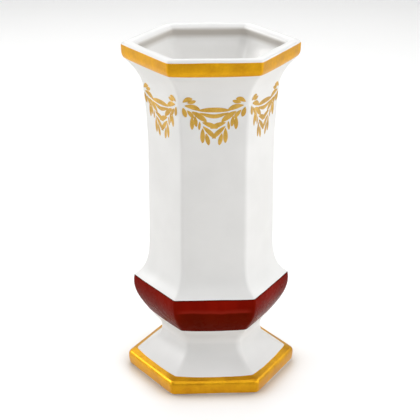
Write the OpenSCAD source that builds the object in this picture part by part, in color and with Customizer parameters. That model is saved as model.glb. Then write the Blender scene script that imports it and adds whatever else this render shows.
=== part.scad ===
// Hexagonal porcelain vase on a pedestal foot, in millimetres.
// The axis is Z, the table is z = 0, and two of the six faces look along +Y and -Y.
// Two porcelain castings are luted together at the waist. The decoration lies on them:
// a gilded rim, an oxblood enamel belly, a gilded foot and a gilded laurel swag on each face.

/* [Overall] */
// Height from the table to the crown of the lip
height = 300; // [280:5:360]
// Width of the rim across its flats
rim_across = 133; // [126:1:140]
// Width of the straight shaft across its flats
shaft_across = 96; // [88:1:100]
// Width of the belly across its flats, at its sharp edge
belly_across = 119.4; // [112:0.2:130]
// Width across the flats at the lower edge of the enamel
belly_low_across = 96; // [90:1:102]
// Width of the waist across its flats
waist_across = 78.8; // [74:0.2:86]
// Width of the foot across its flats
foot_across = 131.2; // [126:0.2:140]
// Radius of the six vertical corners of the shaft, in plan
corner_r = 5; // [3:0.5:6]
// Radius of the corners of the rim and of the belly's sharp edge, in plan
edge_corner_r = 3.6; // [2:0.2:5]
// Radius of the corners of the waist, in plan
waist_corner_r = 7; // [4:0.5:8]
// Radius of the corners of the foot, in plan
foot_corner_r = 5.5; // [3:0.5:8]

/* [Heights] */
// Height of the waist, where the two castings meet
waist_z = 37; // [34:1:40]
// Height of the lower edge of the enamel
belly_low_z = 53; // [51:1:57]
// Height of the sharp edge round the belly
belly_edge_z = 87.8; // [84:0.2:94]
// Length of the concave flare above the belly
belly_flare_h = 35; // [30:1:40]
// Length of the flare below the lip
rim_flare_h = 96; // [80:1:110]
// Height of the gilded band round the rim
rim_band_h = 12.4; // [11:0.2:15]
// Height of the white edge above the foot's gilding
foot_top_z = 14.2; // [13:0.2:16]

/* [Walls] */
// Thickness of the cast wall of the shaft
wall = 5; // [4:0.5:6]
// Width of the lip across its top
lip_w = 10.9; // [9:0.1:12]
// Height of the floor inside the vessel
floor_z = 43; // [42:0.5:45]
// Thickness of the pedestal's wall at the waist
pedestal_wall = 5.5; // [5:0.5:7]
// Width of the ring that the vase stands on
foot_ring_w = 5.6; // [4:0.2:7]
// Thickness of the slip that lutes the castings together
slip_t = 0.4; // [0.2:0.1:0.8]
// Depth of the spigot under the vessel, which centres it in the pedestal
spigot_h = 2.6; // [2:0.2:4]
// Gap round the spigot
spigot_gap = 0.3; // [0.2:0.1:0.5]

/* [Decoration] */
// Thickness of the gilding on the rim and the foot
gilding_t = 0.2; // [0.1:0.05:0.4]
// Thickness of the enamel on the belly
enamel_t = 0.25; // [0.1:0.05:0.5]
// Thickness of the glaze inside the vessel
glaze_t = 0.3; // [0.2:0.1:0.6]
// Thickness of each gilded leaf
leaf_t = 0.2; // [0.1:0.05:0.4]
// Width of a laurel swag
swag_w = 52; // [46:1:52]
// Depth of the swag's hooks below the lip
swag_drop = 42; // [40:1:50]

/* [Hidden] */

rim_a = rim_across / 2;
shaft_a = shaft_across / 2;
belly_a = belly_across / 2;
belly_low_a = belly_low_across / 2;
waist_a = waist_across / 2;
foot_a = foot_across / 2;
corner_steps = 3;
inner_shaft_a = shaft_a - wall;
neck_a = waist_a - pedestal_wall;
spigot_a = neck_a - spigot_gap;
rim_top_z = height - 2.2;
rim_low_z = rim_top_z - rim_band_h;
flare_z = height - rim_flare_h;
shoulder_z = height - 38;
lip_in_a = rim_a - lip_w;
foot_low_z = 0.4;
ring_out_a = foot_a - 2.2;
ring_in_a = ring_out_a - foot_ring_w;

// Radii of the outer corners at some heights, and what the inside of the vessel adds to them.
corner_radii = [[0, foot_corner_r], [foot_top_z, foot_corner_r],
                [waist_z - 5, waist_corner_r], [waist_z + 5, waist_corner_r], [belly_low_z, corner_r],
                [belly_edge_z - 12, edge_corner_r], [belly_edge_z, edge_corner_r],
                [belly_edge_z + belly_flare_h, corner_r], [shoulder_z, corner_r],
                [rim_low_z, edge_corner_r], [height, edge_corner_r]];
inside_softness = [[floor_z, 9], [height - 13, 9], [height - 4, 0]];

// One cubic curve through 4 control points, as n steps. Its first point is left out, so that curves chain.
function curve(p, n) =
    [for (i = [1:n]) let (t = i / n, s = 1 - t) s*s*s*p[0] + 3*t*s*s*p[1] + 3*t*t*s*p[2] + t*t*t*p[3]];

// Every profile is a list of [apothem, height]. The outside is in stretches, because each coating covers one.
neck_line = concat([[waist_a, waist_z + slip_t/2]],
    curve([[waist_a, waist_z], [waist_a, waist_z + 7], [belly_low_a - 4.5, belly_low_z - 7.5],
           [belly_low_a, belly_low_z]], 5));
belly_line = concat([[belly_low_a, belly_low_z]],
    curve([[belly_low_a, belly_low_z], [belly_low_a + 4.8, belly_low_z + 7.5],
           [belly_a + 3.4, belly_edge_z - 15], [belly_a, belly_edge_z]], 9));
flare_line = concat([[belly_a, belly_edge_z]],
    curve([[belly_a, belly_edge_z], [belly_a - 9.7, belly_edge_z + 6.5], [shaft_a, belly_edge_z + 19],
           [shaft_a, belly_edge_z + belly_flare_h]], 7),
    [[shaft_a, flare_z]],
    curve([[shaft_a, flare_z], [shaft_a + 0.3, flare_z + 28], [shaft_a + 2.2, shoulder_z - 10],
           [shaft_a + 3.3, shoulder_z]], 6),
    curve([[shaft_a + 3.3, shoulder_z], [shaft_a + 4.4, shoulder_z + 10], [rim_a - 7.2, rim_low_z - 5],
           [rim_a - 2.6, rim_low_z]], 6));
rim_line = concat([[rim_a - 2.6, rim_low_z]],
    curve([[rim_a - 2.6, rim_low_z], [rim_a - 0.9, rim_low_z + 2.1], [rim_a - 0.2, rim_low_z + 3.8],
           [rim_a - 0.2, rim_low_z + 6.8]], 4),
    [[rim_a, rim_top_z]]);
lip_line = concat([[rim_a, rim_top_z]],
    curve([[rim_a, rim_top_z], [rim_a - 0.1, height - 0.6], [rim_a - 2, height], [rim_a - 4.2, height]], 4),
    curve([[rim_a - 4.2, height], [rim_a - 8, height], [lip_in_a, height - 1.4], [lip_in_a, height - 4]], 4));

// The inside of the vessel, from the undercut below the lip down to the floor. Its corners are softer than
// the outside's: the third number of each point adds to the corner radius.
inside_line = [for (p = concat([[lip_in_a, height - 4]],
    curve([[lip_in_a, height - 4], [lip_in_a, height - 7], [lip_in_a + 3, height - 8],
           [lip_in_a + 2.2, height - 13]], 4),
    curve([[lip_in_a + 2.2, height - 13], [lip_in_a + 0.2, height - 22], [shaft_a - 0.8, shoulder_z + 12],
           [shaft_a - 1.8, shoulder_z]], 6),
    curve([[shaft_a - 1.8, shoulder_z], [shaft_a - 3, shoulder_z - 10], [inner_shaft_a, flare_z + 28],
           [inner_shaft_a, flare_z]], 5),
    [[inner_shaft_a, belly_edge_z + belly_flare_h]],
    curve([[inner_shaft_a, belly_edge_z + belly_flare_h], [inner_shaft_a, belly_edge_z + 21],
           [belly_a - 13.4, belly_edge_z + 9], [belly_a - 5.4, belly_edge_z - 1]], 6),
    curve([[belly_a - 5.4, belly_edge_z - 1], [belly_a - 3.8, belly_edge_z - 16],
           [belly_low_a, belly_low_z + 10], [belly_low_a - 5, belly_low_z + 3]], 6),
    curve([[belly_low_a - 5, belly_low_z + 3], [belly_low_a - 8, floor_z + 8], [waist_a - 3, floor_z],
           [waist_a - 6.4, floor_z]], 4))) [p.x, p.y, lookup(p.y, inside_softness)]];

// The pedestal, from the waist out to the edge of the gilding, then the gilded foot, then the underside.
pedestal_line = concat([[waist_a, waist_z - slip_t/2]],
    curve([[waist_a, waist_z - 1], [waist_a, waist_z - 10], [foot_a - 17.6, foot_top_z + 6],
           [foot_a - 6.2, foot_top_z]], 8));
foot_line = concat([[foot_a - 6.2, foot_top_z], [foot_a - 2.6, foot_top_z - 1.3]],
    curve([[foot_a - 2.6, foot_top_z - 1.3], [foot_a - 1, foot_top_z - 1.9], [foot_a - 0.1, foot_top_z - 3],
           [foot_a, foot_top_z - 5.2]], 4),
    curve([[foot_a, foot_top_z - 5.2], [foot_a, foot_top_z - 8], [foot_a - 0.4, foot_low_z + 2.4],
           [foot_a - 1.2, foot_low_z]], 4));
underside_line = concat([[foot_a - 1.2, foot_low_z]],
    curve([[foot_a - 1.2, foot_low_z], [foot_a - 1.4, 0.1], [foot_a - 1.7, 0], [ring_out_a, 0]], 2),
    [[ring_in_a, 0]],
    curve([[ring_in_a, 0], [ring_in_a - 0.9, 1.4], [ring_in_a - 0.9, 6], [ring_in_a - 3.8, 8]], 3),
    curve([[ring_in_a - 3.8, 8], [foot_a - 22, 12.4], [neck_a, 20], [neck_a, 29]], 5),
    [[neck_a, waist_z - slip_t/2]]);

function reversed(list) = [for (i = [len(list) - 1:-1:0]) list[i]];
// Stretch b after stretch a, without repeating the point that they share.
function chained(a, b) = concat(a, [for (i = [1:len(b) - 1]) b[i]]);

// A profile moved sideways by t, to its left as it is walked. The corner radius follows, in a third number.
function direction(line, i) =
    let (d = flat(line[min(i + 1, len(line) - 1)]) - flat(line[max(i - 1, 0)])) d / norm(d);
function moved(line, t) =
    [for (i = [0:len(line) - 1]) let (d = direction(line, i))
        [line[i].x - d.y*t, line[i].y + d.x*t, extra_r(line[i]) - d.y*t]];
function extra_r(p) = len(p) > 2 ? p[2] : 0;
function flat(p) = [p.x, p.y];

// A hexagon of apothem a with rounded corners, flat towards +Y and -Y, at height z.
function hexagon_ring(a, z, r) =
    [for (c = [0:5], k = [0:corner_steps])
        let (middle = 60*c, turn = middle - 30 + 60*k/corner_steps, reach = (a - r) / cos(30))
        [reach*cos(middle) + r*cos(turn), reach*sin(middle) + r*sin(turn), z]];
ring_n = 6 * (corner_steps + 1);

// The solid that a profile sweeps round the hexagon. A closed profile makes a hollow band, and an open one
// is capped with a flat floor at each end.
module hexagon_sweep(line, closed) {
    n = len(line);
    points = [for (p = line) each hexagon_ring(p.x, p.y, lookup(p.y, corner_radii) + extra_r(p))];
    walls = [for (i = [0:closed ? n - 1 : n - 2], j = [0:ring_n - 1])
        let (up = (i + 1) % n, next = (j + 1) % ring_n)
        [i*ring_n + j, up*ring_n + j, up*ring_n + next, i*ring_n + next]];
    caps = [[for (j = [0:ring_n - 1]) j], [for (j = [0:ring_n - 1]) n*ring_n - 1 - j]];
    polyhedron(points, closed ? walls : concat(walls, caps), convexity = 10);
}

// A coating of thickness t outside a stretch of the profile that is walked upwards.
module coating(line, t) {
    hexagon_sweep(concat(line, reversed(moved(line, -t))), true);
}

// Upper casting: floor, belly, shaft, flare and lip, with the centring spigot below.
module vessel() {
    spigot = [[spigot_a - 0.8, waist_z - spigot_h], [spigot_a, waist_z - spigot_h + 0.8],
              [spigot_a, waist_z + slip_t/2]];
    outside = chained(chained(chained(chained(neck_line, belly_line), flare_line), rim_line), lip_line);
    color("white")
    hexagon_sweep(concat(spigot, chained(outside, inside_line)), false);
}

// Lower casting: a hollow pedestal, open below, with a flat ring to stand on.
module pedestal() {
    color("white")
    hexagon_sweep(chained(chained(pedestal_line, foot_line), underside_line), true);
}

// The fired slip between the castings.
module luting_slip() {
    color("gainsboro")
    hexagon_sweep([[neck_a, waist_z - slip_t/2], [neck_a, waist_z + slip_t/2],
                   [waist_a, waist_z + slip_t/2], [waist_a, waist_z - slip_t/2]], true);
}

// The clear glaze that makes the inside hold water, from the lip down and across the floor.
module interior_glaze() {
    color("whitesmoke")
    hexagon_sweep(concat(reversed(inside_line), moved(inside_line, glaze_t)), false);
}

module rim_gilding() {
    color("goldenrod") coating(rim_line, gilding_t);
}

module belly_enamel() {
    color("darkred") coating(belly_line, enamel_t);
}

module foot_gilding() {
    color("goldenrod") coating(reversed(foot_line), gilding_t);
}

// Leaves of the left half of a swag, each as [base, tip, width, bow], in millimetres from the middle
// of the face and from the hooks' height. A positive bow curves the leaf to the left of its direction.
half_leaves = [
    [[-25.9, 3.1], [-17.8, 6.2], 4.0, 0.9],
    [[-22.2, 2.6], [-14.9, 4.2], 3.2, -0.2],
    [[-24.4, 0.2], [-11.2, -4.0], 4.3, 0.9],
    [[-25.6, -1.5], [-23.1, -10.0], 3.8, 0],
    [[-22.2, -3.9], [-16.6, -11.0], 3.3, 0.2],
    [[-18.4, -5.0], [-6.0, -14.3], 4.9, 0.5],
    [[-18.2, -9.2], [-18.0, -21.0], 3.5, 0],
    [[-15.8, -9.0], [-14.5, -18.5], 3.2, 0],
    [[-11.7, -13.6], [-12.3, -21.3], 2.4, 0],
    [[-9.8, -14.7], [3.2, -19.9], 4.6, 0.3],
    [[-9.4, -18.0], [1.6, -29.0], 4.4, 0.2],
    [[-9.4, -19.6], [-9.4, -33.0], 4.2, 0],
    [[-6.6, -24.2], [-4.2, -34.9], 4.0, 0],
];
// Leaves that cross the middle, each as [half length, height of its ends, rise of its middle, bend,
// thickness at the middle]. A positive rise bows the leaf upwards.
middle_leaves = [
    [13.9, -4.3, 0.5, 2, 4.7],
    [12.4, -6.0, -3.4, 1.7, 4.0],
];
swag_z = height - swag_drop;
swag_scale = swag_w / 52;

// The outline of a leaf: pointed at both ends, widest past its middle, and bowed along its length.
module leaf(base, tip, width, bow) {
    steps = 6;
    along = tip - base;
    side = [-along.y, along.x] / norm(along);
    function half_width(t) = width/2 * pow(sin(180 * pow(t, 1.2)), 0.58);
    function middle(t) = base + along*t + side * bow * 4*t*(1 - t);
    polygon(concat(
        [for (i = [0:steps]) middle(i/steps) + side * half_width(i/steps)],
        [for (i = [steps - 1:-1:1]) middle(i/steps) - side * half_width(i/steps)]));
}

module middle_leaf(half_length, ends, rise, bend, thickness) {
    steps = 6;
    function middle(x) = ends + rise * (1 - pow(abs(x), bend));
    function half_height(x) = thickness/2 * (1 - pow(abs(x), 2.6));
    across = [for (i = [-steps:steps]) i/steps];
    polygon(concat(
        [for (x = across) [half_length*x, middle(x) + half_height(x)]],
        [for (i = [len(across) - 2:-1:1]) let (x = across[i]) [half_length*x, middle(x) - half_height(x)]]));
}

module swag_outline() {
    for (l = half_leaves) {
        leaf(l[0], l[1], l[2], l[3]);
        mirror([1, 0]) leaf(l[0], l[1], l[2], l[3]);
    }
    for (l = middle_leaves) middle_leaf(l[0], l[1], l[2], l[3], l[4]);
}

// The thin slab that follows the curve of the front face, which each swag is cut from.
module face_slab() {
    line = [for (p = flare_line) if (p.y >= flare_z && p.y < rim_low_z - 8) p];
    rotate([90, 0, -90])
    linear_extrude(height = rim_across, center = true)
    polygon(concat(line, reversed([for (p = line) [p.x + leaf_t, p.y]])));
}

// One swag. Turn 0 is on the face that looks along -Y, and a positive turn goes to the right of it.
module swag(turn) {
    color("goldenrod")
    rotate([0, 0, 60*turn])
    intersection() {
        translate([0, 0, swag_z])
        rotate([90, 0, 0])
        linear_extrude(height = rim_a)
        scale([swag_scale, swag_scale])
        swag_outline();
        face_slab();
    }
}

vessel();
pedestal();
luting_slip();
interior_glaze();
rim_gilding();
belly_enamel();
foot_gilding();
swag(0);  // swag_front
swag(1);  // swag_front_right
swag(2);  // swag_back_right
swag(3);  // swag_back
swag(4);  // swag_back_left
swag(5);  // swag_front_left
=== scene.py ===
"""A hexagonal porcelain vase with gilding, oxblood enamel and laurel swags, on a pale studio floor."""

import math

import bmesh
import bpy
import numpy as np
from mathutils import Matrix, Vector, noise


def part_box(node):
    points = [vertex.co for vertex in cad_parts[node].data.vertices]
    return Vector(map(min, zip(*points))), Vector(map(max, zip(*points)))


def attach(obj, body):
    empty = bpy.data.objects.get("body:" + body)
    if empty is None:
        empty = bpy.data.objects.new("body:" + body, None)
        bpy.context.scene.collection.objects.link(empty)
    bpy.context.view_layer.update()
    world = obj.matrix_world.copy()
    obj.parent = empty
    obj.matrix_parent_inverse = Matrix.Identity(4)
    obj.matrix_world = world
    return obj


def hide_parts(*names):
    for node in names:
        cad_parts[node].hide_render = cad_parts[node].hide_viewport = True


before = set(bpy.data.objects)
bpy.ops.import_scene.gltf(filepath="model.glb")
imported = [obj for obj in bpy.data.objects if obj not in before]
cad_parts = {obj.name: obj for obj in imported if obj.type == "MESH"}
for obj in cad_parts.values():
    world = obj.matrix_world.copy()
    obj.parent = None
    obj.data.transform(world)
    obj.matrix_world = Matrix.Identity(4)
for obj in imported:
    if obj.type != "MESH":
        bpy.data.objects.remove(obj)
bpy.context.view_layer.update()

MM = 0.001

# ---------------------------------------------------------------------------------------------
# Sizes, in metres. The apothem is the distance from the axis to the middle of a flat side.
# ---------------------------------------------------------------------------------------------

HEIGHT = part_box("vessel")[1].z
RIM_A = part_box("vessel")[1].y
FOOT_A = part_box("pedestal")[1].y
WAIST_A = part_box("luting_slip")[1].y
WAIST_Z = (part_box("luting_slip")[0].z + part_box("luting_slip")[1].z) / 2
SPIGOT_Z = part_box("vessel")[0].z
BELLY_LOW_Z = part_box("belly_enamel")[0].z + 0.1 * MM
FLOOR_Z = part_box("interior_glaze")[0].z

BELLY_A = 59.7 * MM
BELLY_EDGE_Z = 87.8 * MM
BELLY_LOW_A = 48 * MM
SHAFT_A = 48 * MM
WALL = 5 * MM
LIP_IN_A = RIM_A - 10.9 * MM
NECK_A = WAIST_A - 5.5 * MM
SPIGOT_A = NECK_A - 0.3 * MM
RING_OUT_A = FOOT_A - 2.2 * MM
RING_IN_A = RING_OUT_A - 5.6 * MM
BELLY_FLARE_H = 35 * MM

RIM_TOP_Z = HEIGHT - 2.2 * MM
RIM_LOW_Z = RIM_TOP_Z - 12.4 * MM
FLARE_Z = HEIGHT - 96 * MM
SHOULDER_Z = HEIGHT - 38 * MM
FOOT_TOP_Z = 14.2 * MM
FOOT_LOW_Z = 0.4 * MM

# ---------------------------------------------------------------------------------------------
# Profiles: lists of (apothem, height), the same curves as the CAD model's, more finely stepped
# ---------------------------------------------------------------------------------------------

def curve(*points, steps=60):
    """A cubic curve through its first and last control points, as an array of points."""
    t = np.linspace(0, 1, steps + 1)[:, None]
    p = np.array(points, float)
    return (1 - t) ** 3 * p[0] + 3 * t * (1 - t) ** 2 * p[1] + 3 * t * t * (1 - t) * p[2] + t ** 3 * p[3]


def line(start, end, steps=40):
    return np.linspace(np.array(start, float), np.array(end, float), steps + 1)


def lengths(points):
    """How far along a polyline each of its points is."""
    return np.concatenate([[0], np.cumsum(np.linalg.norm(np.diff(points, axis=0), axis=1))])


def at_length(points, where):
    s = lengths(points)
    return np.stack([np.interp(where, s, points[:, k]) for k in range(points.shape[1])], axis=-1)


def trimmed(points, start, end):
    """A polyline without a length of start at its beginning and of end at its end."""
    s = lengths(points)
    inner = points[(s > start) & (s < s[-1] - end)]
    ends = at_length(points, [start, s[-1] - end])
    return np.concatenate([ends[:1], inner, ends[1:]])


def chain(*parts):
    """Stretches joined end to end. A number between two stretches rounds their corner over that length."""
    stretches = [p for p in parts if not np.isscalar(p)]
    cuts = [0.0] * (len(stretches) + 1)
    seen = 0
    for p in parts:
        if np.isscalar(p):
            cuts[seen] = p
        else:
            seen += 1
    out = []
    for i, s in enumerate(stretches):
        if cuts[i]:
            corner = s[0]
            start, end = out[-1], at_length(s, [cuts[i]])[0]
            t = np.linspace(0, 1, 9)[1:-1, None]
            out.extend((1 - t) ** 2 * start + 2 * t * (1 - t) * corner + t * t * end)
        out.extend(trimmed(s, cuts[i], cuts[i + 1]))
    out = np.array(out)
    keep = np.concatenate([[True], np.linalg.norm(np.diff(out, axis=0), axis=1) > 1e-6])
    return out[keep]


def evenly(points, longest=2.4 * MM, sharpest=math.radians(7)):
    """A polyline resampled so that no step is longer than longest or turns by more than sharpest."""
    step = np.diff(points, axis=0)
    heading = np.unwrap(np.arctan2(step[:, 1], step[:, 0]))
    turn = np.abs(np.diff(heading, prepend=heading[0], append=heading[-1]))
    cost = np.linalg.norm(step, axis=1) / longest + (turn[:-1] + turn[1:]) / 2 / sharpest
    total = np.concatenate([[0], np.cumsum(cost)])
    wanted = np.linspace(0, total[-1], math.ceil(total[-1]) + 1)
    return np.stack([np.interp(wanted, total, points[:, k]) for k in range(2)], axis=-1)


foot_side = curve((FOOT_A - 1.2 * MM, FOOT_LOW_Z), (FOOT_A - 0.4 * MM, FOOT_LOW_Z + 2.4 * MM),
                  (FOOT_A, FOOT_TOP_Z - 8 * MM), (FOOT_A, FOOT_TOP_Z - 5.2 * MM))
foot_round = curve((FOOT_A, FOOT_TOP_Z - 5.2 * MM), (FOOT_A - 0.1 * MM, FOOT_TOP_Z - 3 * MM),
                   (FOOT_A - MM, FOOT_TOP_Z - 1.9 * MM), (FOOT_A - 2.6 * MM, FOOT_TOP_Z - 1.3 * MM))
foot_bevel = line((FOOT_A - 2.6 * MM, FOOT_TOP_Z - 1.3 * MM), (FOOT_A - 6.2 * MM, FOOT_TOP_Z))
pedestal_curve = curve((FOOT_A - 6.2 * MM, FOOT_TOP_Z), (FOOT_A - 17.6 * MM, FOOT_TOP_Z + 6 * MM),
                       (WAIST_A, WAIST_Z - 10 * MM), (WAIST_A, WAIST_Z))
neck_curve = curve((WAIST_A, WAIST_Z), (WAIST_A, WAIST_Z + 7 * MM),
                   (BELLY_LOW_A - 4.5 * MM, BELLY_LOW_Z - 7.5 * MM), (BELLY_LOW_A, BELLY_LOW_Z))
belly_curve = curve((BELLY_LOW_A, BELLY_LOW_Z), (BELLY_LOW_A + 4.8 * MM, BELLY_LOW_Z + 7.5 * MM),
                    (BELLY_A + 3.4 * MM, BELLY_EDGE_Z - 15 * MM), (BELLY_A, BELLY_EDGE_Z))
belly_flare = curve((BELLY_A, BELLY_EDGE_Z), (BELLY_A - 9.7 * MM, BELLY_EDGE_Z + 6.5 * MM),
                    (SHAFT_A, BELLY_EDGE_Z + 19 * MM), (SHAFT_A, BELLY_EDGE_Z + BELLY_FLARE_H))
shaft_line = line((SHAFT_A, BELLY_EDGE_Z + BELLY_FLARE_H), (SHAFT_A, FLARE_Z))
flare_low = curve((SHAFT_A, FLARE_Z), (SHAFT_A + 0.3 * MM, FLARE_Z + 28 * MM),
                  (SHAFT_A + 2.2 * MM, SHOULDER_Z - 10 * MM), (SHAFT_A + 3.3 * MM, SHOULDER_Z))
flare_high = curve((SHAFT_A + 3.3 * MM, SHOULDER_Z), (SHAFT_A + 4.4 * MM, SHOULDER_Z + 10 * MM),
                   (RIM_A - 7.2 * MM, RIM_LOW_Z - 5 * MM), (RIM_A - 2.6 * MM, RIM_LOW_Z))
rim_round = curve((RIM_A - 2.6 * MM, RIM_LOW_Z), (RIM_A - 0.9 * MM, RIM_LOW_Z + 2.1 * MM),
                  (RIM_A - 0.2 * MM, RIM_LOW_Z + 3.8 * MM), (RIM_A - 0.2 * MM, RIM_LOW_Z + 6.8 * MM))
rim_side = line((RIM_A - 0.2 * MM, RIM_LOW_Z + 6.8 * MM), (RIM_A, RIM_TOP_Z))
lip_outer = curve((RIM_A, RIM_TOP_Z), (RIM_A - 0.1 * MM, HEIGHT - 0.6 * MM),
                  (RIM_A - 2 * MM, HEIGHT), (RIM_A - 4.2 * MM, HEIGHT))
lip_inner = curve((RIM_A - 4.2 * MM, HEIGHT), (RIM_A - 8 * MM, HEIGHT),
                  (LIP_IN_A, HEIGHT - 1.4 * MM), (LIP_IN_A, HEIGHT - 4 * MM))

undercut = curve((LIP_IN_A, HEIGHT - 4 * MM), (LIP_IN_A, HEIGHT - 7 * MM),
                 (LIP_IN_A + 3 * MM, HEIGHT - 8 * MM), (LIP_IN_A + 2.2 * MM, HEIGHT - 13 * MM))
inner_flare_high = curve((LIP_IN_A + 2.2 * MM, HEIGHT - 13 * MM), (LIP_IN_A + 0.2 * MM, HEIGHT - 22 * MM),
                         (SHAFT_A - 0.8 * MM, SHOULDER_Z + 12 * MM), (SHAFT_A - 1.8 * MM, SHOULDER_Z))
inner_flare_low = curve((SHAFT_A - 1.8 * MM, SHOULDER_Z), (SHAFT_A - 3 * MM, SHOULDER_Z - 10 * MM),
                        (SHAFT_A - WALL, FLARE_Z + 28 * MM), (SHAFT_A - WALL, FLARE_Z))
inner_shaft = line((SHAFT_A - WALL, FLARE_Z), (SHAFT_A - WALL, BELLY_EDGE_Z + BELLY_FLARE_H))
inner_belly_high = curve((SHAFT_A - WALL, BELLY_EDGE_Z + BELLY_FLARE_H),
                         (SHAFT_A - WALL, BELLY_EDGE_Z + 21 * MM),
                         (BELLY_A - 13.4 * MM, BELLY_EDGE_Z + 9 * MM),
                         (BELLY_A - 5.4 * MM, BELLY_EDGE_Z - MM))
inner_belly_low = curve((BELLY_A - 5.4 * MM, BELLY_EDGE_Z - MM), (BELLY_A - 3.8 * MM, BELLY_EDGE_Z - 16 * MM),
                        (BELLY_LOW_A, BELLY_LOW_Z + 10 * MM), (BELLY_LOW_A - 5 * MM, BELLY_LOW_Z + 3 * MM))
inner_bowl = curve((BELLY_LOW_A - 5 * MM, BELLY_LOW_Z + 3 * MM), (BELLY_LOW_A - 8 * MM, FLOOR_Z + 8 * MM),
                   (WAIST_A - 3 * MM, FLOOR_Z), (WAIST_A - 6.4 * MM, FLOOR_Z))
inner_floor = line((WAIST_A - 6.4 * MM, FLOOR_Z), (6 * MM, FLOOR_Z))

ring_round = curve((FOOT_A - 1.2 * MM, FOOT_LOW_Z), (FOOT_A - 1.4 * MM, 0.1 * MM),
                   (FOOT_A - 1.7 * MM, 0), (RING_OUT_A, 0))
ring_flat = line((RING_OUT_A, 0), (RING_IN_A, 0))
recess_low = curve((RING_IN_A, 0), (RING_IN_A - 0.9 * MM, 1.4 * MM), (RING_IN_A - 0.9 * MM, 6 * MM),
                   (RING_IN_A - 3.8 * MM, 8 * MM))
recess_high = curve((RING_IN_A - 3.8 * MM, 8 * MM), (FOOT_A - 22 * MM, 12.4 * MM),
                    (NECK_A, 20 * MM), (NECK_A, 29 * MM))
collar_side = line((NECK_A, 29 * MM), (NECK_A, WAIST_Z))

outside = evenly(chain(foot_side, foot_round, foot_bevel, 1.2 * MM, pedestal_curve, neck_curve, 1.5 * MM,
                       belly_curve, 1.0 * MM, belly_flare, shaft_line, flare_low, flare_high, 1.2 * MM,
                       rim_round, rim_side, lip_outer, lip_inner, undercut, inner_flare_high, inner_flare_low,
                       inner_shaft, inner_belly_high, inner_belly_low, inner_bowl, inner_floor))
underside = evenly(chain(foot_side[:3][::-1], ring_round, 0.5 * MM, ring_flat, 0.5 * MM, recess_low,
                         recess_high, collar_side))

# ---------------------------------------------------------------------------------------------
# The hexagon that every profile is swept round
# ---------------------------------------------------------------------------------------------

CORNER_STEPS = 10
FLAT_STEPS = 16
COLUMNS = 6 * (CORNER_STEPS + FLAT_STEPS)
# How far each column is from the middle of its face: 0 there and 1 at the corners.
OFF_MIDDLE = np.array(([1.0] * CORNER_STEPS + [abs(2 * k / FLAT_STEPS - 1) for k in range(FLAT_STEPS)]) * 6)


# The radius of the vertical corners, as (height, radius) in millimetres. They are softest at the waist and
# crispest at the rim and round the belly's edge.
CORNER_RADII = np.array([(0, 5.5), (14.2, 5.5), (32, 7), (42, 7), (53, 5), (75.8, 3.6),
                         (87.8, 3.6), (122.8, 5), (262, 5), (285.4, 3.6), (300, 3.6)])
# How far the middle of each face stands out beyond its edges, as (height, distance) in millimetres.
CROWNS = np.array([(0, 0.2), (20, 0.2), (40, 0.1), (60, 0.3), (110, 0.3), (270, 0.4), (284, 0.4)])
BROAD_STRAY = 0.22
FINE_STRAY = 0.05


def at_z(table, z):
    """The value at height z of a table of (height, value) in millimetres."""
    return np.interp(z, table[:, 0] * MM, table[:, 1] * MM)


def direction(angle):
    return np.array([math.cos(angle), math.sin(angle)])


def hexagon(a, r, bulge=0.0):
    """The points of a hexagon of apothem a whose corners have radius r, from the middle of the +X corner."""
    points = []
    centre_a = (a - r) / math.cos(math.radians(30))
    for corner in range(6):
        middle = math.radians(60 * corner)
        centre = centre_a * direction(middle)
        for k in range(CORNER_STEPS):
            turn = middle + math.radians(-30 + 60 * k / CORNER_STEPS)
            points.append(centre + (r - bulge) * direction(turn))
        outward = direction(middle + math.radians(30))
        start_flat = centre + r * outward
        end_flat = centre_a * direction(middle + math.radians(60)) + r * outward
        for k in range(FLAT_STEPS):
            off = 2 * k / FLAT_STEPS - 1
            points.append(start_flat + (end_flat - start_flat) * k / FLAT_STEPS - outward * bulge * off ** 4)
    return np.array(points)


def wobble(p):
    """How far a hand-finished casting strays outwards at the point p."""
    broad = noise.noise(Vector(p) / (48 * MM))
    fine = noise.noise(Vector(p) / (15 * MM) + Vector((7, 3, 5)))
    return (BROAD_STRAY * broad + FINE_STRAY * fine) * MM


def grid_normals(points):
    """Normals of a grid whose rows close on themselves. They point away from the axis where the rows rise."""
    around = np.roll(points, -1, axis=1) - np.roll(points, 1, axis=1)
    along = np.gradient(points, axis=0)
    n = np.cross(around, along)
    return n / np.maximum(np.linalg.norm(n, axis=2, keepdims=True), 1e-12)


def sweep(profile, plain=False, softer=None):
    """The grid of points and the grid of outward normals of a profile swept round the hexagon.
    A plain sweep has flat faces that don't stray. Softer adds to the radius of the corners, row by row."""
    points = np.zeros((len(profile), COLUMNS, 3))
    for i, (a, z) in enumerate(profile):
        more = softer[i] if softer is not None else 0.0
        radius = min(at_z(CORNER_RADII, z) + more, 0.8 * a)
        points[i, :, :2] = hexagon(a, radius, 0.0 if plain or more else at_z(CROWNS, z))
        points[i, :, 2] = z
    normals = grid_normals(points)
    if not plain:
        strays = np.array([[wobble(p) for p in row] for row in points])
        points += normals * strays[..., None]
        points[..., 2] = np.maximum(points[..., 2], 0.0)
        normals = grid_normals(points)
    return points, normals


def mesh_object(name, verts, faces):
    mesh = bpy.data.meshes.new(name)
    mesh.from_pydata([tuple(v) for v in verts], [], faces)
    mesh.validate()
    mesh.polygons.foreach_set("use_smooth", [True] * len(mesh.polygons))
    made = bpy.data.objects.new(name, mesh)
    bpy.context.scene.collection.objects.link(made)
    return made


def swept_faces(rows, closed):
    """Quads between the rows of a grid. A closed grid's last row meets its first."""
    faces = []
    for i in range(rows if closed else rows - 1):
        up = (i + 1) % rows
        for j in range(COLUMNS):
            following = (j + 1) % COLUMNS
            faces.append((i * COLUMNS + j, i * COLUMNS + following,
                          up * COLUMNS + following, up * COLUMNS + j))
    return faces


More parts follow.
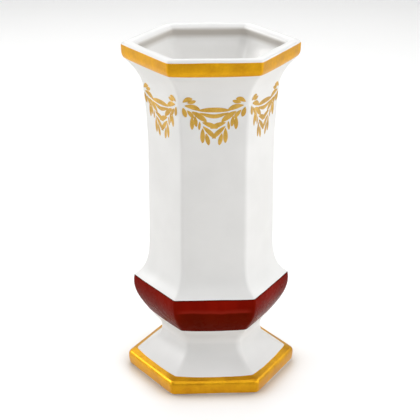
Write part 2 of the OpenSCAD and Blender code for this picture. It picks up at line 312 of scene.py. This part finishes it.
def swept_object(name, points, closed=False, caps=False):
    """A piece made of a grid of points. Caps close its first and last row with a fan."""
    rows = len(points)
    verts = [p for row in points for p in row]
    faces = swept_faces(rows, closed)
    if caps:
        for row, flip in ((0, True), (rows - 1, False)):
            middle = len(verts)
            verts.append(points[row].mean(axis=0))
            for j in range(COLUMNS):
                a, b = row * COLUMNS + j, row * COLUMNS + (j + 1) % COLUMNS
                faces.append((middle, b, a) if flip else (middle, a, b))
    return mesh_object(name, verts, faces)


along_outside = lengths(outside)


def where(a, z):
    """How far along the outside profile the point (a, z) is."""
    return along_outside[int(np.argmin(np.linalg.norm(outside - np.array([a, z]), axis=1)))]


S_UNDERCUT = where(LIP_IN_A, HEIGHT - 4 * MM)
INSIDE_SOFTNESS = 9 * MM
SOFTENING_LENGTH = 9 * MM
body_softer = np.interp(along_outside, [S_UNDERCUT, S_UNDERCUT + SOFTENING_LENGTH], [0, INSIDE_SOFTNESS])
body_grid, body_normals = sweep(outside, softer=body_softer)
under_grid = sweep(underside)[0]

S_WAIST = where(WAIST_A, WAIST_Z)
ROW_WAIST = int(np.argmin(np.abs(along_outside - S_WAIST)))

# ---------------------------------------------------------------------------------------------
# Porcelain: the pedestal, the vessel, the slip between them and the glaze inside
# ---------------------------------------------------------------------------------------------

pedestal_grid = np.concatenate([under_grid[::-1], body_grid[1:ROW_WAIST + 1]])
pedestal = swept_object("pedestal_casting", pedestal_grid, closed=True)

spigot = np.array([(SPIGOT_A - 0.8 * MM, SPIGOT_Z), (SPIGOT_A, SPIGOT_Z + 0.8 * MM), (SPIGOT_A, WAIST_Z)])
spigot_grid = sweep(spigot, plain=True)[0]
vessel_grid = np.concatenate([spigot_grid, body_grid[ROW_WAIST:]])
vessel = swept_object("vessel_casting", vessel_grid, caps=True)


# How far a coat's edge and its back lie inside the porcelain, so that no gap shows.
EDGE_SUNK = 0.12 * MM
BACK_SUNK = 0.3 * MM


def edge_noise(p, seed):
    """A brush's unsteadiness along an edge, from -1 to 1."""
    q = Vector((p[0], p[1], seed * MM * 100))
    return 0.65 * noise.noise(q / (14 * MM)) + 0.35 * noise.noise(q / (5 * MM))


def band(name, s_low, s_high, thickness, edge=0.4 * MM, ragged=0.0, seed=0, rows=40,
         low_bow=(0.0, 0.0), high_bow=(0.0, 0.0)):
    """A thin coat over the body between two lengths along its profile, with tapered, slightly ragged edges.
    A bow is how far an edge is moved up at the corners and in the middle of each face."""
    share = (1 - np.cos(np.linspace(0, math.pi, rows))) / 2
    front = np.zeros((rows, COLUMNS, 3))
    back = np.zeros((rows, COLUMNS, 3))
    row_low = int(np.argmin(np.abs(along_outside - s_low)))
    for j in range(COLUMNS):
        column = body_grid[:, j]
        ways = body_normals[:, j]
        at = column[row_low]
        corner = OFF_MIDDLE[j] ** 2
        low = s_low + ragged * edge_noise(at, seed) + low_bow[0] * corner + low_bow[1] * (1 - corner)
        high = (s_high + ragged * edge_noise(at, seed + 11)
                + high_bow[0] * corner + high_bow[1] * (1 - corner))
        s = low + (high - low) * share
        p = np.stack([np.interp(s, along_outside, column[:, k]) for k in range(3)], axis=-1)
        n = np.stack([np.interp(s, along_outside, ways[:, k]) for k in range(3)], axis=-1)
        n /= np.linalg.norm(n, axis=1, keepdims=True)
        depth = np.clip(np.minimum(s - low, high - s) / edge, 0, 1)
        lift = -EDGE_SUNK + (thickness + EDGE_SUNK) * np.sqrt(depth * (2 - depth))
        front[:, j] = p + n * lift[:, None]
        back[:, j] = p - n * BACK_SUNK
    return swept_object(name, np.concatenate([front, back[::-1]]), closed=True)


S_FOOT_TOP = where(FOOT_A - 6.2 * MM, FOOT_TOP_Z)
S_BELLY_LOW = where(BELLY_LOW_A, BELLY_LOW_Z)
S_BELLY_EDGE = where(BELLY_A, BELLY_EDGE_Z)
S_RIM_LOW = where(RIM_A - 2.6 * MM, RIM_LOW_Z)
S_RIM_TOP = where(RIM_A, RIM_TOP_Z)

slip = band("luting_slip_ring", S_WAIST - 1.2 * MM, S_WAIST + 1.2 * MM, 0.02 * MM, edge=1.1 * MM, rows=13)
foot_gilding = band("foot_gilding_coat", 0.2 * MM, S_FOOT_TOP, 0.08 * MM, ragged=0.4 * MM, seed=1,
                    high_bow=(0.5 * MM, -0.6 * MM))
enamel = band("belly_enamel_coat", S_BELLY_LOW, S_BELLY_EDGE, 0.15 * MM, ragged=0.25 * MM, seed=2, rows=48,
              low_bow=(0.0, -1.0 * MM))
rim_gilding = band("rim_gilding_coat", S_RIM_LOW, S_RIM_TOP, 0.08 * MM, ragged=0.25 * MM, seed=3,
                   low_bow=(0.5 * MM, -0.4 * MM))

glaze_rows = along_outside >= where(LIP_IN_A + 1.2 * MM, HEIGHT - 1.8 * MM)
glaze_base, glaze_normals = body_grid[glaze_rows], body_normals[glaze_rows]
glaze_skin = glaze_base + glaze_normals * (0.12 * MM)
glaze_back = glaze_base - glaze_normals * BACK_SUNK
# The glaze's upper edge dips into the porcelain.
glaze_skin[0] = glaze_base[0] - glaze_normals[0] * (0.05 * MM)
glaze = swept_object("interior_glaze_skin", np.concatenate([glaze_back[::-1], glaze_skin]), caps=True)

# ---------------------------------------------------------------------------------------------
# Laurel swags: every leaf is a slightly raised, veined solid that follows its face
# ---------------------------------------------------------------------------------------------

SWAG_Z = HEIGHT - 42 * MM
LEAF_T = 0.14 * MM
# How far a leaf's front edge and its back lie inside the porcelain.
LEAF_EDGE_SUNK = 0.03 * MM
LEAF_BACK_SUNK = 0.15 * MM
# The groove down a leaf, as shares of the leaf's height and half-width.
VEIN_DEPTH = 0.35
VEIN_WIDTH = 0.18

# Leaves of the left half, as (base, tip, width, bow), in millimetres from the face's middle and SWAG_Z.
HALF_LEAVES = [
    ((-25.9, 3.1), (-17.8, 6.2), 4.0, 0.9),
    ((-22.2, 2.6), (-14.9, 4.2), 3.2, -0.2),
    ((-24.4, 0.2), (-11.2, -4.0), 4.3, 0.9),
    ((-25.6, -1.5), (-23.1, -10.0), 3.8, 0),
    ((-22.2, -3.9), (-16.6, -11.0), 3.3, 0.2),
    ((-18.4, -5.0), (-6.0, -14.3), 4.9, 0.5),
    ((-18.2, -9.2), (-18.0, -21.0), 3.5, 0),
    ((-15.8, -9.0), (-14.5, -18.5), 3.2, 0),
    ((-11.7, -13.6), (-12.3, -21.3), 2.4, 0),
    ((-9.8, -14.7), (3.2, -19.9), 4.6, 0.3),
    ((-9.4, -18.0), (1.6, -29.0), 4.4, 0.2),
    ((-9.4, -19.6), (-9.4, -33.0), 4.2, 0),
    ((-6.6, -24.2), (-4.2, -34.9), 4.0, 0),
]
# Leaves across the middle, as (half length, height of the ends, rise, bend, thickness).
MIDDLE_LEAVES = [
    (13.9, -4.3, 0.5, 2, 4.7),
    (12.4, -6.0, -3.4, 1.7, 4.0),
]
LEAF_ALONG = 16
LEAF_ACROSS = 8


def side_leaf(base, tip, width, bow, mirror):
    """The centre and the half-width vector of a leaf at each step along it."""
    base, tip = np.array(base), np.array(tip)
    t = np.linspace(0.01, 0.99, LEAF_ALONG + 1)[:, None]
    along = tip - base
    side = np.array([-along[1], along[0]]) / np.linalg.norm(along)
    centre = base + along * t + side * bow * 4 * t * (1 - t)
    half = side * width / 2 * np.sin(math.pi * t ** 1.2) ** 0.58
    flip = np.array([mirror, 1])
    return centre * flip * MM, half * flip * mirror * MM


def crossing_leaf(half_length, ends, rise, bend, thickness):
    x = np.linspace(-0.98, 0.98, 2 * LEAF_ALONG + 1)
    middle = ends + rise * (1 - np.abs(x) ** bend)
    half_height = thickness / 2 * (1 - np.abs(x) ** 2.6)
    centre = np.stack([half_length * x, middle], axis=-1)
    half = np.stack([np.zeros_like(x), half_height], axis=-1)
    return centre * MM, half * MM


flare_profile = np.concatenate([shaft_line, flare_low[1:], flare_high[1:]])


def at_height(z):
    return float(np.interp(z, flare_profile[:, 1], flare_profile[:, 0]))


def spun(v, turn):
    """The vector v, turned about the axis by a number of faces."""
    spin = math.radians(60 * turn)
    c, s = math.cos(spin), math.sin(spin)
    return Vector((v.x * c - v.y * s, v.x * s + v.y * c, v.z))


def face_point(u, z, lift, turn):
    """The point of a face at u to the right of its middle, at height z and lifted off it."""
    slope = (at_height(z + MM) - at_height(z - MM)) / (2 * MM)
    p = spun(Vector((u, -at_height(z), z)), turn)
    n = spun(Vector((0, -1, slope)).normalized(), turn)
    return p + n * (wobble(p) + lift)


def leaf_solid(centre, half, turn, verts, faces):
    """Adds one leaf: a domed front with a groove down its vein, over a flat back sunk in the porcelain."""
    start = len(verts)
    across = np.linspace(-1, 1, LEAF_ACROSS + 1)
    n = len(centre)
    for front in (True, False):
        for i in range(n):
            for v in across:
                u, z = centre[i] + half[i] * v
                dome = LEAF_T * (1 - v * v) ** 0.5 * (1 - VEIN_DEPTH * math.exp(-(v / VEIN_WIDTH) ** 2))
                lift = dome - LEAF_EDGE_SUNK if front else -LEAF_BACK_SUNK
                verts.append(face_point(u, SWAG_Z + z, lift, turn))
    w = LEAF_ACROSS + 1
    back = n * w
    for i in range(n - 1):
        for j in range(LEAF_ACROSS):
            a = start + i * w + j
            faces.append((a, a + w, a + w + 1, a + 1))
            faces.append((a + back, a + back + 1, a + back + w + 1, a + back + w))
        for j, flip in ((0, False), (LEAF_ACROSS, True)):
            a = start + i * w + j
            quad = (a, a + back, a + back + w, a + w)
            faces.append(quad[::-1] if flip else quad)
    for i, flip in ((0, False), (n - 1, True)):
        for j in range(LEAF_ACROSS):
            a = start + i * w + j
            quad = (a, a + back, a + back + 1, a + 1)
            faces.append(quad[::-1] if flip else quad)


def swag(name, turn):
    verts, faces = [], []
    for leaf in HALF_LEAVES:
        for mirror in (1, -1):
            leaf_solid(*side_leaf(*leaf, mirror), turn, verts, faces)
    for leaf in MIDDLE_LEAVES:
        leaf_solid(*crossing_leaf(*leaf), turn, verts, faces)
    made = mesh_object(name, verts, faces)
    bm = bmesh.new()
    bm.from_mesh(made.data)
    bmesh.ops.recalc_face_normals(bm, faces=bm.faces)
    bm.to_mesh(made.data)
    bm.free()
    return made


SWAG_PLACES = ["front", "front_right", "back_right", "back", "back_left", "front_left"]
swags = [swag(f"laurel_{place}", turn) for turn, place in enumerate(SWAG_PLACES)]

# ---------------------------------------------------------------------------------------------
# Materials
# ---------------------------------------------------------------------------------------------

# The height of the lower edge of the painted reflection on the enamel.
ENAMEL_PAINTED_REFLECTION_Z = BELLY_EDGE_Z - 11.5 * MM


class Nodes:
    """A short way to write a material's nodes."""

    def __init__(self, name):
        self.material = bpy.data.materials.new(name)
        self.material.use_nodes = True
        self.tree = self.material.node_tree
        self.shader = self.tree.nodes["Principled BSDF"]
        self.place = self.tree.nodes.new("ShaderNodeTexCoord").outputs["Object"]

    def node(self, kind, inputs=None, **settings):
        made = self.tree.nodes.new(kind)
        for key, value in settings.items():
            setattr(made, key, value)
        for key, value in (inputs or {}).items():
            self.feed(made.inputs[key], value)
        return made

    def feed(self, socket, value):
        if isinstance(value, bpy.types.NodeSocket):
            self.tree.links.new(value, socket)
        else:
            socket.default_value = value

    def noise(self, scale, detail=3.0, roughness=0.5, stretch=(1, 1, 1)):
        mapped = self.node("ShaderNodeMapping", {"Vector": self.place, "Scale": stretch})
        made = self.node("ShaderNodeTexNoise", {"Vector": mapped.outputs["Vector"], "Scale": scale,
                                                "Detail": detail, "Roughness": roughness})
        return made.outputs["Fac"]

    def ramp(self, value, *stops):
        """A colour for each stop, as (position, colour)."""
        made = self.node("ShaderNodeValToRGB", {"Fac": value})
        elements = made.color_ramp.elements
        while len(elements) < len(stops):
            elements.new(0.5)
        for element, (position, colour) in zip(elements, stops):
            element.position = position
            element.color = (*colour, 1)
        return made.outputs["Color"]

    def span(self, value, low, high, to_low, to_high):
        made = self.node("ShaderNodeMapRange", {"Value": value, "From Min": low, "From Max": high,
                                                "To Min": to_low, "To Max": to_high})
        return made.outputs["Result"]

    def bump(self, height, distance, strength, onto=None):
        made = self.node("ShaderNodeBump", {"Height": height, "Distance": distance, "Strength": strength})
        if onto is not None:
            self.feed(made.inputs["Normal"], onto)
        return made.outputs["Normal"]

    def maths(self, operation, *values):
        return self.node("ShaderNodeMath", dict(enumerate(values)), operation=operation).outputs[0]

    def mix(self, share, a, b, data_type="RGBA"):
        made = self.node("ShaderNodeMix", {"Factor": share, "A": a, "B": b}, data_type=data_type)
        return made.outputs["Result"]

    def set(self, **inputs):
        for key, value in inputs.items():
            self.feed(self.shader.inputs[key.replace("_", " ")], value)


def porcelain(name, low, high, rough_low, rough_high, shade_under_lip=False):
    """Satin porcelain. One with painted shade under the lip is greyer in the hollow there."""
    m = Nodes(name)
    cloud = m.noise(26, 3)
    grain = m.noise(900, 2)
    colour = m.ramp(cloud, (0.35, low), (0.65, high))
    if shade_under_lip:
        # Painted shade: a grey band in the hollow under the lip stands in for the shade that falls there.
        height = m.node("ShaderNodeSeparateXYZ", {"Vector": m.place}).outputs["Z"]
        below = m.span(height, HEIGHT - 13 * MM, HEIGHT - 8.5 * MM, 0, 1)
        above = m.span(height, HEIGHT - 5 * MM, HEIGHT - 2 * MM, 1, 0)
        colour = m.mix(m.maths("MULTIPLY", below, above), colour, (0.6, 0.565, 0.52, 1))
    m.set(Base_Color=colour,
          Roughness=m.span(m.noise(60, 3), 0.35, 0.65, rough_low, rough_high),
          Normal=m.bump(grain, 0.02 * MM, 0.25, m.bump(m.noise(70, 2), 0.1 * MM, 0.25)),
          Specular_IOR_Level=0.45)
    return m.material


def gilding(name, dark, bright, rough_low, rough_high, coat):
    """Burnished gold leaf: mottled and lightly brushed, under a thin sheen."""
    m = Nodes(name)
    mottle = m.noise(75, 4, 0.55)
    fine = m.noise(420, 3, 0.6)
    both = m.mix(0.3, mottle, fine, data_type="FLOAT")
    m.set(Base_Color=m.ramp(both, (0.3, dark), (0.66, bright)),
          Roughness=m.span(mottle, 0.35, 0.65, rough_low, rough_high),
          Normal=m.bump(fine, 0.04 * MM, 0.25, m.bump(mottle, 0.25 * MM, 0.25)),
          Metallic=1.0, Coat_Weight=coat, Coat_Roughness=0.35)
    return m.material


def oxblood(name):
    """Deep red enamel. On the front and back faces a painted highlight line parts a painted reflection above,
    a brighter red, from painted shade below, a darker red, and elsewhere the two blend."""
    m = Nodes(name)
    flow = m.noise(34, 4, 0.55, (1, 1, 0.5))
    speck = m.noise(260, 2, 0.6)
    spot = m.node("ShaderNodeSeparateXYZ", {"Vector": m.place}).outputs
    height = spot["Z"]
    # The painted reflection and the painted highlight line show fully on the front and back faces only.
    facing = m.span(m.maths("ABSOLUTE", spot["X"]), 27 * MM, 34 * MM, 1, 0)
    level = m.maths("ADD", height, m.maths("MULTIPLY", m.noise(40, 3), 4 * MM))
    crisp = m.span(level, ENAMEL_PAINTED_REFLECTION_Z, ENAMEL_PAINTED_REFLECTION_Z + 1.5 * MM, 0, 1)
    soft = m.span(level, ENAMEL_PAINTED_REFLECTION_Z - 8 * MM, ENAMEL_PAINTED_REFLECTION_Z + 9 * MM, 0.2, 0.75)
    upper = m.mix(facing, soft, crisp, data_type="FLOAT")
    # A painted highlight line along the lower edge of the painted reflection.
    highlight_line_low = m.span(level, ENAMEL_PAINTED_REFLECTION_Z, ENAMEL_PAINTED_REFLECTION_Z + 1.5 * MM, 0, 0.6)
    highlight_line_high = m.span(level, ENAMEL_PAINTED_REFLECTION_Z + 2 * MM, ENAMEL_PAINTED_REFLECTION_Z + 5 * MM, 1, 0)
    painted_highlight_line = m.maths("MULTIPLY", m.maths("MULTIPLY", highlight_line_low, highlight_line_high), facing)
    brim = m.span(height, BELLY_EDGE_Z - 1.3 * MM, BELLY_EDGE_Z - 0.3 * MM, 0, 1)
    # thin is the brighter red of the painted reflection above. The darker red below it is painted shade.
    thin = m.ramp(flow, (0.34, (0.175, 0.004, 0.001)), (0.66, (0.25, 0.007, 0.002)))
    painted_shade_red = m.ramp(flow, (0.34, (0.1, 0.0045, 0.0003)), (0.66, (0.135, 0.0065, 0.0006)))
    # Mixes in the lighter red of the painted highlight line over the painted reflection and painted shade.
    with_highlight_line = m.mix(painted_highlight_line, m.mix(upper, painted_shade_red, thin), (0.28, 0.022, 0.012, 1))
    m.set(Base_Color=m.mix(brim, with_highlight_line, (0.06, 0.002, 0.001, 1)),
          Roughness=m.span(m.noise(120, 3), 0.35, 0.65, 0.22, 0.32),
          Normal=m.bump(speck, 0.04 * MM, 0.15, m.bump(flow, 0.2 * MM, 0.3)),
          Specular_IOR_Level=0.014, Specular_Tint=(1, 0.6, 0.4, 1))
    return m.material


white = porcelain("satin_porcelain", (0.80, 0.80, 0.79), (0.84, 0.84, 0.83), 0.34, 0.44)
# A darker copy of the satin porcelain: painted shade for the shade the belly casts on the pedestal.
pedestal_white_painted_shade = porcelain("pedestal_porcelain_painted_shade", (0.74, 0.74, 0.73), (0.78, 0.78, 0.77), 0.34, 0.44)
fired_slip = porcelain("fired_slip", (0.77, 0.77, 0.76), (0.81, 0.81, 0.80), 0.36, 0.46)
# The inside glaze has painted shade in the hollow under the lip.
inside_white = porcelain("inside_glaze", (0.87, 0.865, 0.85), (0.9, 0.895, 0.88), 0.16, 0.24, shade_under_lip=True)
gold = gilding("brushed_gilding", (0.67, 0.295, 0.002), (0.89, 0.475, 0.006), 0.36, 0.5, coat=0.26)
print_gold = gilding("printed_gold", (0.50, 0.27, 0.032), (0.80, 0.51, 0.11), 0.38, 0.5, coat=0.25)
red = oxblood("oxblood_enamel")


def finish_piece(piece, material, nodes):
    piece.data.materials.append(material)
    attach(piece, "root")
    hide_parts(*nodes)


finish_piece(vessel, white, ["vessel"])
finish_piece(pedestal, pedestal_white_painted_shade, ["pedestal"])
finish_piece(slip, fired_slip, ["luting_slip"])
finish_piece(glaze, inside_white, ["interior_glaze"])
finish_piece(rim_gilding, gold, ["rim_gilding"])
finish_piece(foot_gilding, gold, ["foot_gilding"])
finish_piece(enamel, red, ["belly_enamel"])
for piece, place in zip(swags, SWAG_PLACES):
    finish_piece(piece, print_gold, [f"swag_{place}"])

# ---------------------------------------------------------------------------------------------
# Studio: floor, lights and camera
# ---------------------------------------------------------------------------------------------

# The sheet lies just below the foot ring's flat underside, so that the two don't share a plane.
SHEET_Z = -0.1 * MM
SHEET_HALF = 12.0
SHADOW_REACH = 0.04


def pale_floor():
    """A white sheet under and behind the vase. Close to the foot a warm contact shadow is painted into the
    colour the camera sees, from ambient occlusion.
    """
    m = Nodes("studio_floor")
    seen = m.node("ShaderNodeLightPath").outputs["Is Camera Ray"]
    open_sky = m.node("ShaderNodeAmbientOcclusion", {"Distance": SHADOW_REACH}, samples=16).outputs["AO"]
    # Painted shadow: the sheet's colour darkens to a warm brown where ambient occlusion finds the foot close
    # by.
    sheet = m.ramp(open_sky, (0.5, (0.41, 0.36, 0.3)), (0.8, (0.745, 0.735, 0.715)),
                   (0.98, (0.93, 0.93, 0.925)))
    m.set(Base_Color=m.mix(seen, (0.82, 0.805, 0.785, 1), sheet), Roughness=0.35,
          Emission_Strength=m.maths("MULTIPLY", seen, 0.1), Emission_Color=(1, 1, 1, 1))
    corners = [(-1, -1), (1, -1), (1, 1), (-1, 1)]
    floor = mesh_object("studio_floor_sheet", [(x * SHEET_HALF, y * SHEET_HALF, SHEET_Z) for x, y in corners],
                        [(0, 1, 2, 3)])
    floor.data.materials.append(m.material)


def add_light(name, kind, place, aim, power, **settings):
    light = bpy.data.lights.new(name, kind)
    light.energy = power
    for key, value in settings.items():
        setattr(light, key, value)
    made = bpy.data.objects.new(name, light)
    made.location = place
    made.rotation_euler = (Vector(aim) - Vector(place)).to_track_quat("-Z", "Y").to_euler()
    bpy.context.scene.collection.objects.link(made)


def softbox(name, place, width, tall, power):
    """A rectangle of light, in metres and watts, that faces the middle of the vase."""
    add_light(name, "AREA", place, (0, 0, 0.15), power, shape="RECTANGLE", size=width, size_y=tall)


pale_floor()
softbox("left_softbox", (-1.2, 0.4, 0.9), 0.8, 0.8, 9.7)
softbox("right_softbox", (1.2, 0.4, 0.9), 0.8, 0.8, 4.6)
softbox("left_low_softbox", (-1.35, -0.35, 0.45), 0.8, 0.8, 2.3)
softbox("right_low_softbox", (1.35, -0.35, 0.45), 0.8, 0.8, 4.3)
softbox("back_softbox", (0, 1.3, 1.1), 1.2, 0.8, 7.4)
softbox("front_softbox", (0, -1.4, 1.3), 0.9, 0.6, 3.5)
softbox("front_fill", (0.85, -1.15, 0.8), 0.6, 0.6, 4.5)
add_light("overhead", "SUN", (0, 0, 3), (0, 0, 0), 0.58, angle=math.radians(40))

world = bpy.data.worlds.new("studio_world")
world.use_nodes = True
background = world.node_tree.nodes["Background"]
background.inputs["Color"].default_value = (1, 1, 1, 1)
background.inputs["Strength"].default_value = 0.31
bpy.context.scene.world = world
bpy.context.scene.view_settings.view_transform = "Standard"
bpy.context.scene.view_settings.look = "None"

CAMERA_AZ = math.radians(-2.68)
CAMERA_EL = math.radians(20.91)
CAMERA_DISTANCE = 1.2379
CAMERA_LENS = 120.84
# The camera looks at a point this far to the side of the axis, and this high.
TARGET_ASIDE = -1.034 * MM
TARGET_Z = 147.4 * MM
TARGET = Vector((TARGET_ASIDE * math.cos(CAMERA_AZ), TARGET_ASIDE * math.sin(CAMERA_AZ), TARGET_Z))

camera_data = bpy.data.cameras.new("photo_camera")
camera_data.lens = CAMERA_LENS
camera_data.sensor_width = 36
camera = bpy.data.objects.new("photo_camera", camera_data)
back = Vector((math.sin(CAMERA_AZ) * math.cos(CAMERA_EL), -math.cos(CAMERA_AZ) * math.cos(CAMERA_EL),
               math.sin(CAMERA_EL)))
camera.location = TARGET + back * CAMERA_DISTANCE
camera.rotation_euler = (-back).to_track_quat("-Z", "Y").to_euler()
bpy.context.scene.collection.objects.link(camera)
bpy.context.scene.camera = camera
